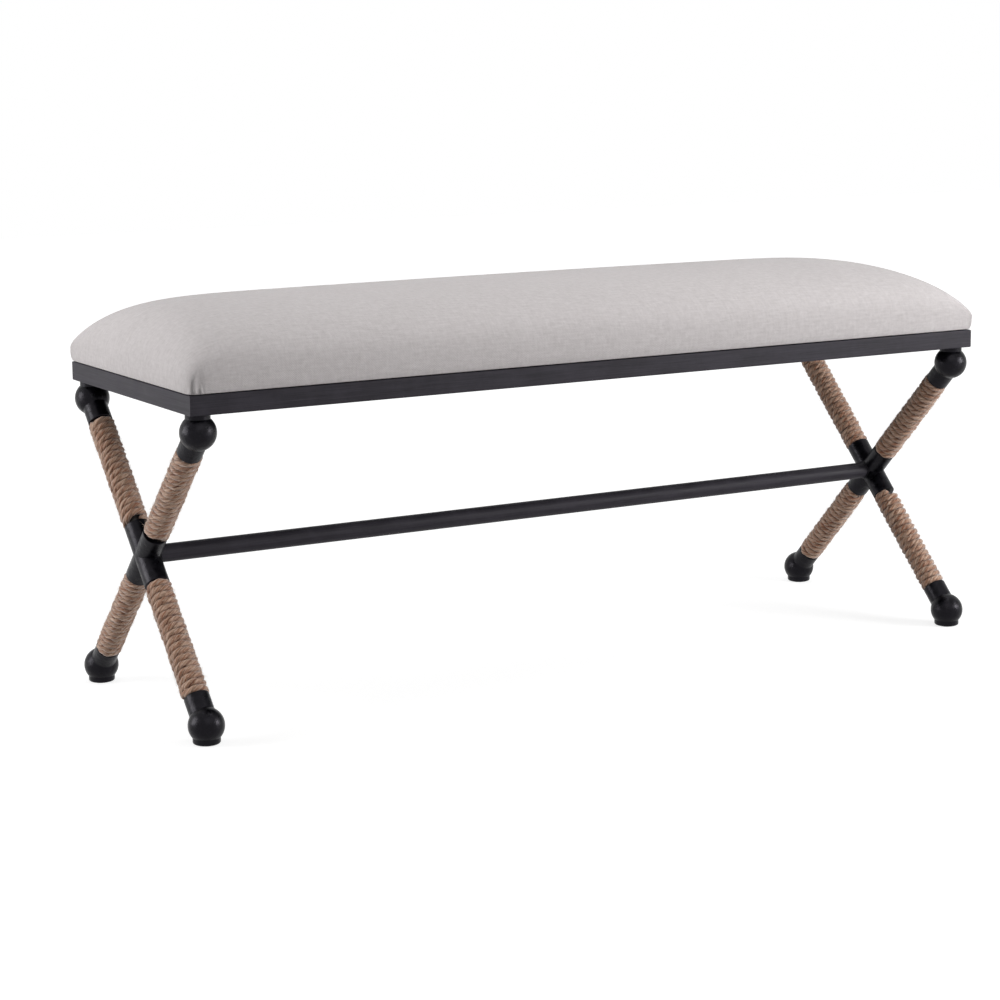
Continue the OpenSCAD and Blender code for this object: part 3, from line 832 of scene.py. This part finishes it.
def cord_tube(line, lumps):
    """The points of a three-strand cord along its line, and how far each faces outwards"""
    alpha = full_turn(CORD_SIDES)
    lobes = CREASE + (1 - CREASE) * np.abs(np.cos(STRANDS / 2 * alpha)) ** CREASE_POWER
    beta = alpha[None, :] + line.twist[:, None]
    taper = END_SIZE + (1 - END_SIZE) * line.ends
    reach = CORD / 2 * (lobes[None, :] + lumps) * taper[:, None]
    outwards = (CORD_SQUEEZE * reach * np.cos(beta))[:, :, None] * line.radial[:, None, :]
    sideways = (CORD_SPREAD * reach * np.sin(beta))[:, :, None] * line.axis[None, None, :]
    points = line.path[:, None, :] + outwards + sideways
    return points.reshape(-1, 3), np.cos(beta)


FIBRES_PER_TURN = 100
FIBRE_RINGS, FIBRE_SIDES = 4, 3
FIBRE_LENGTH, FIBRE_RADIUS = (0.002, 0.009), 0.0001
# A fibre's root lies in the cord, at this share of its radius, and turned by this spread from
# straight outwards. It heads along the cord, leans away from it and turns aside from it, curls,
# and gets thinner.
FIBRE_ROOT, FIBRE_TILT = 0.86, 0.6
FIBRE_LEAN, FIBRE_ASIDE, FIBRE_CURL, FIBRE_THINNING = (0.1, 0.65), 0.25, 0.45, 0.75


def stray_fibres(random, line, count):
    """Fine jute hairs that start in the cord and curl away from it, as points and faces. The
    first and last turn have none, so no hair lies on the iron beside them."""
    at = random.integers(RINGS_PER_TURN, len(line.path) - RINGS_PER_TURN, count)
    tilt = random.normal(0, FIBRE_TILT, count)[:, None]
    out = line.radial[at] * np.cos(tilt) + line.axis[None, :] * np.sin(tilt)
    along = unit(line.path[at + 1] - line.path[at - 1])
    sense = random.choice((-1, 1), count)[:, None]
    lean = random.uniform(*FIBRE_LEAN, count)[:, None]
    curl = random.normal(0, FIBRE_CURL, (count, 3))
    length = random.uniform(*FIBRE_LENGTH, count)[:, None]
    aside = FIBRE_ASIDE * random.normal(0, 1, count)[:, None] * line.axis
    heading = along * sense + out * lean + aside
    across = unit(np.cross(heading, out))
    third = np.cross(unit(heading), across)
    root = line.path[at] + out * (CORD / 2) * FIBRE_ROOT

    s = np.linspace(0, 1, FIBRE_RINGS)[None, :, None]
    middle = root[:, None] + length[:, None] * (s * heading[:, None] + s ** 2 * 0.5 * curl[:, None])
    turn = full_turn(FIBRE_SIDES)[None, :, None]
    ring = np.cos(turn) * across[:, None] + np.sin(turn) * third[:, None]
    thickness = FIBRE_RADIUS * (1 - FIBRE_THINNING * s)
    points = middle[:, :, None] + thickness[..., None] * ring[:, None]
    each = FIBRE_RINGS * FIBRE_SIDES
    first = np.arange(count) * each
    faces = (first[:, None, None] + tube_quads(FIBRE_RINGS, FIBRE_SIDES)).reshape(-1, 4).tolist()
    for k in first.tolist():
        faces += tube_ends(k, k + each - FIBRE_SIDES, FIBRE_SIDES)
    return points.reshape(-1, 3), faces


def map_cord(mesh, line, quads, outward):
    """Two UV maps on the cord, with the distance along it as u: in "cord", v goes round it,
    and in "wrap", v tells how far it faces outwards. The way out from the leg is stored at
    each point, for the sheen."""
    rings = len(line.length)
    ring = np.repeat(np.arange(rings - 1), CORD_SIDES)
    here, there = line.length[ring], line.length[ring + 1]
    along = np.stack([here, here, there, there], -1)
    k = np.tile(np.arange(CORD_SIDES), rings - 1)
    around = np.stack([k, k + 1, k + 1, k], -1) / CORD_SIDES
    for layer, values in (("cord", around), ("wrap", outward.ravel()[quads])):
        uv = np.full((len(mesh.loops), 2), 0.5)
        uv[:quads.size] = np.stack([along, values], -1).reshape(-1, 2)
        mesh.uv_layers.new(name=layer).data.foreach_set("uv", uv.ravel())
    way = np.tile(line.inward, (len(mesh.vertices), 1)).astype(float)
    way[:rings * CORD_SIDES] = np.repeat(line.radial, CORD_SIDES, axis=0)
    stored = mesh.attributes.new("wrap_normal", "FLOAT_VECTOR", "POINT")
    stored.data.foreach_set("vector", way.ravel())


def wrap(end, side, half, number, finish, fibre_finish):
    """One half leg's cord and its stray fibres, as one piece"""
    name = f"{end}_{side}_{half}_rope"
    random = np.random.default_rng(number)
    line = CordLine(name, end, side, half, random)
    points, outward = cord_tube(line, cord_lumps(random, line.length))
    hairs, hair_faces = stray_fibres(random, line, int(line.turns * FIBRES_PER_TURN))
    quads = tube_quads(len(line.path), CORD_SIDES)
    faces = quads.tolist() + tube_ends(0, len(points) - CORD_SIDES, CORD_SIDES)
    cord_faces = len(faces)
    faces += [[k + len(points) for k in face] for face in hair_faces]

    mesh = smooth_mesh(name + "_cord", np.concatenate([points, hairs]), faces, finish, fibre_finish)
    of_fibres = (np.arange(len(faces)) >= cord_faces).astype(int)
    mesh.polygons.foreach_set("material_index", of_fibres)
    map_cord(mesh, line, quads, outward)
    piece = make_piece(name + "_cord", mesh)
    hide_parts(name)


# ---- Dust cover ----
BAR_SPACING, BAR_GRIP = 0.380, 0.021
DUST_THICKNESS, DUST_SAG, DUST_PUCKER = 0.0005, 0.0028, 0.0007
DUST_CELLS = (150, 48)
# The edge that is held, the gap kept from the board, and how far in from the bars, the ends
# and the long sides the cover has its full slack
DUST_HELD, DUST_GAP = 0.009, 0.0001
BAR_SLACK, END_SLACK, SIDE_SLACK = 0.10, 0.07, 0.10
# Puckers stand in a row along each long side: their spacing, how they bend and how far in they
# reach, and where they start off the long sides, and how fast, there and off the bars
PUCKER_SPACING, PUCKER_BEND, PUCKER_RUN = 0.052, 1.3, 0.05
PUCKER_START, PUCKER_EASE, PUCKER_BAR_EASE = 0.008, 0.02, 0.03


def dust_heights(x, y, low, high):
    """The cover's underside: nipped by the cross bars and the rails, and slack between them"""
    from_bar = np.min([np.abs(x - bar) for bar in (-BAR_SPACING, 0, BAR_SPACING)], axis=0)
    from_end, from_side = high.x - np.abs(x), high.y - np.abs(y)
    slack = ease((from_bar - BAR_GRIP) / BAR_SLACK)
    slack *= ease((from_end - DUST_HELD) / END_SLACK)
    slack *= ease((from_side - DUST_HELD) / SIDE_SLACK)
    rows = np.sin(2 * math.pi * x / PUCKER_SPACING + PUCKER_BEND * np.sin(y / PUCKER_RUN))
    rows = rows * np.exp(-(from_side / PUCKER_RUN) ** 2)
    puckers = ease((from_side - PUCKER_START) / PUCKER_EASE)
    puckers = puckers * ease((from_bar - BAR_GRIP) / PUCKER_BAR_EASE) * (1 + rows) / 2
    puckers *= ease((from_end - DUST_HELD) / PUCKER_EASE)
    return low.z + DUST_GAP - DUST_SAG * slack - DUST_PUCKER * puckers


def make_dust_cover(finish):
    """Thin black cloth stretched under the board"""
    low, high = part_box("dust_cover")
    n, m = DUST_CELLS
    along, across = np.linspace(low.x, high.x, n + 1), np.linspace(low.y, high.y, m + 1)
    x, y = np.meshgrid(along, across, indexing="ij")
    below = np.stack([x, y, dust_heights(x, y, low, high)], -1).reshape(-1, 3)
    above = below + (0, 0, DUST_THICKNESS)
    size = len(below)
    quads = grid_quads(n, m)
    rim = grid_rim(n, m) @ (m + 1, 1)
    after = np.roll(rim, -1)
    walls = np.stack([rim, after, size + after, size + rim], -1)
    faces = np.concatenate([quads[:, [0, 3, 2, 1]], size + quads, walls])
    mesh = smooth_mesh("dust_sheet", np.concatenate([below, above]), faces.tolist(), finish)
    piece = make_piece("dust_sheet", mesh)
    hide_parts("dust_cover")


# ---- Weld beads round the stretcher's ends ----
SLEEVE_RADIUS, STRETCHER_RADIUS, BEAD_RADIUS = 0.0165, 0.012, 0.0014
BEAD_RINGS, BEAD_SIDES = 96, 10
# How far the bead's middle stands off the stretcher and off the sleeves, in its own radii
OFF_STRETCHER, OFF_SLEEVES = 0.3, 0.2
RIPPLES, RIPPLE_DEPTH, RIPPLE_SPREAD = 34, 0.10, 0.05
FIRST_WELD_SEED = 40


def weld(side, finish):
    """The bead that joins the stretcher to a crossing: it rises and falls over the two sleeves"""
    above, below = ball_centre("front", side, True), ball_centre("front", side, False)
    middle = np.array((above.x, 0, (above.z + below.z) / 2))
    lean = math.atan2(above.z - middle[2], abs(above.y))
    angle = full_turn(BEAD_RINGS)
    reach = STRETCHER_RADIUS + OFF_STRETCHER * BEAD_RADIUS
    inside = [reach * np.sin(angle - way * lean) for way in (-1, 1)]
    stand = np.max([np.sqrt(SLEEVE_RADIUS ** 2 - part ** 2) for part in inside], axis=0)
    inward = -math.copysign(1, above.x)
    outward = np.stack([np.zeros(BEAD_RINGS), np.cos(angle), np.sin(angle)], -1)
    path = middle + outward * reach
    path[:, 0] += inward * (stand + OFF_SLEEVES * BEAD_RADIUS)
    random = np.random.default_rng(FIRST_WELD_SEED + SIDES.index(side))
    uneven = RIPPLE_SPREAD * random.normal(0, 1, BEAD_RINGS)
    ripple = 1 + RIPPLE_DEPTH * np.sin(angle * RIPPLES) + uneven

    turn = full_turn(BEAD_SIDES)[None, :, None]
    section = np.cos(turn) * outward[:, None] + np.sin(turn) * np.array((inward, 0, 0))
    points = (path[:, None] + BEAD_RADIUS * ripple[:, None, None] * section).reshape(-1, 3)
    k = np.arange(BEAD_RINGS * BEAD_SIDES).reshape(BEAD_RINGS, BEAD_SIDES)
    beside, ahead = np.roll(k, -1, 1), np.roll(k, -1, 0)
    faces = np.stack([k, beside, np.roll(beside, -1, 0), ahead], -1).reshape(-1, 4)
    name = f"{side}_stretcher_weld"
    # On the right side the bead faces the other way, and so its faces are turned round
    mesh = smooth_mesh(name, points, faces[:, ::int(inward)].tolist(), finish)
    make_piece(name, mesh)


# ---- Floor and light ----
FLOOR_SIZE = 16.0
FLOOR_ROUGHNESS = 0.9
BACKGROUND_GLOW, GLOW_REACH = 0.80, (1.0, 3.0)
AMBIENT = 0.04
# Each lamp's name, place, the point that it faces, its width, height and power
LAMPS = (
    ("top_light", (0.2, 0.3, 2.6), (0, 0, 0.45), 2.4, 1.6, 32.5),
    ("left_light", (-2.7, 0.8, 0.85), (-0.6, 0, 0.4), 1.4, 1.3, 47),
    ("right_light", (2.1, -1.9, 0.95), (0.55, -0.2, 0.4), 0.9, 0.85, 60),
    ("front_light", (-0.8, -2.6, 2.4), (0, 0, 0.3), 2.6, 2.2, 23),
)


def seen_directly(nodes):
    """1 for what the camera sees itself, in a reflection or through glass"""
    path = nodes.add("LightPath")
    rays = nodes.maths("MAXIMUM", path.outputs["Is Camera Ray"], path.outputs["Is Glossy Ray"])
    return nodes.maths("MAXIMUM", rays, path.outputs["Is Transmission Ray"])


def make_floor():
    """A pale floor that keeps the bench's shadow and is nearly as white as the background"""
    half = FLOOR_SIZE / 2
    corners = [(-half, -half, 0), (half, -half, 0), (half, half, 0), (-half, half, 0)]
    mesh = bpy.data.meshes.new("floor")
    mesh.from_pydata(corners, [], [(0, 1, 2, 3)])
    finish = Finish("floor", roughness=FLOOR_ROUGHNESS)
    finish.put("Base Color", tint(160, 160, 160))
    finish.put("Emission Color", (1, 1, 1, 1))
    away = finish.add("VectorMath", {0: finish.place()}, operation="LENGTH").outputs["Value"]
    glow = finish.between(away, *GLOW_REACH, BACKGROUND_GLOW, 1.0)
    finish.put("Emission Strength", finish.maths("MULTIPLY", seen_directly(finish), glow))
    mesh.materials.append(finish.material)
    floor = bpy.data.objects.new("floor", mesh)
    bpy.context.scene.collection.objects.link(floor)


def make_world():
    """White where it is seen directly, and a faint light on everything else"""
    world = bpy.data.worlds.new("studio")
    world.use_nodes = True
    nodes = Nodes(world.node_tree)
    background = nodes.tree.nodes["Background"]
    nodes.feed(background.inputs["Color"], (1, 1, 1, 1))
    strength = nodes.between(seen_directly(nodes), 0.0, 1.0, AMBIENT, 1.0)
    nodes.feed(background.inputs["Strength"], strength)
    bpy.context.scene.world = world


def make_lamp(name, place, aim, width, height, power):
    data = bpy.data.lights.new(name, "AREA")
    data.shape = "RECTANGLE"
    data.size, data.size_y = width, height
    data.energy = power
    lamp = bpy.data.objects.new(name, data)
    lamp.location = place
    lamp.rotation_euler = (Vector(aim) - Vector(place)).to_track_quat("-Z", "Y").to_euler()
    bpy.context.scene.collection.objects.link(lamp)


# ---- The scene ----
bpy.context.scene.view_settings.view_transform = "Standard"
make_camera()
make_floor()
make_world()
for lamp in LAMPS:
    make_lamp(*lamp)
FINISHES = dress_nodes()
make_seat(FINISHES["linen"])
make_dust_cover(FINISHES["dust_cloth"])
wrap_number = 0
for side in SIDES:
    weld(side, FINISHES["black_iron"])
    for end in ENDS:
        for half in HALVES:
            wrap(end, side, half, wrap_number, FINISHES["jute_rope"], FINISHES["fibre"])
            wrap_number += 1
